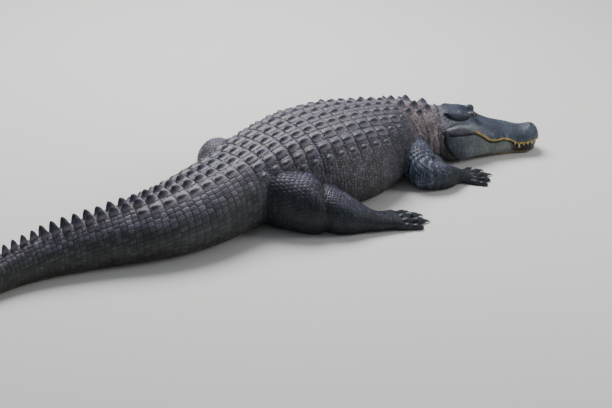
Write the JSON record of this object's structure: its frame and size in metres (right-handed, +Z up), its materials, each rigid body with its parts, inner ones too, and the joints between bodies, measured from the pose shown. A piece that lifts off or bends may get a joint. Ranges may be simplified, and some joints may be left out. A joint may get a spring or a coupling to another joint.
{
  "type": "american alligator",
  "caption": "Life-size still model of an adult alligator resting on its belly, head turned to its right, armoured back and crested tail.",
  "frame": {"origin": "on the floor, below the middle of the bounding box", "axes": "+X forward along the trunk, +Y to the animal's left, +Z up"},
  "size_m": [3.0202, 1.071, 0.3829],
  "materials": {
    "back_hide": "dry grey-brown hide with raised, keeled scutes",
    "head_hide": "smoother slate-grey hide with ochre lips",
    "limb_hide": "dark, rounded scales with a slight sheen",
    "eye": "wet, dark red-brown eye"
  },
  "bodies": {
    "root": {"eye_left": "eye", "eye_right": "eye", "front_foot_left": "limb_hide", "front_foot_right": "limb_hide", "front_leg_left_lower": "limb_hide", "front_leg_left_upper": "limb_hide", "front_leg_right_lower": "limb_hide", "front_leg_right_upper": "limb_hide", "head": "head_hide", "hind_foot_left": "limb_hide", "hind_foot_right": "limb_hide", "hind_leg_left_lower": "limb_hide", "hind_leg_left_upper": "limb_hide", "hind_leg_right_lower": "limb_hide", "hind_leg_right_upper": "limb_hide", "lower_jaw": "head_hide", "neck": "back_hide", "tail_base": "back_hide", "tail_end": "back_hide", "tail_middle": "back_hide", "tail_tip": "back_hide", "torso": "back_hide"}
  },
  "joints": []
}
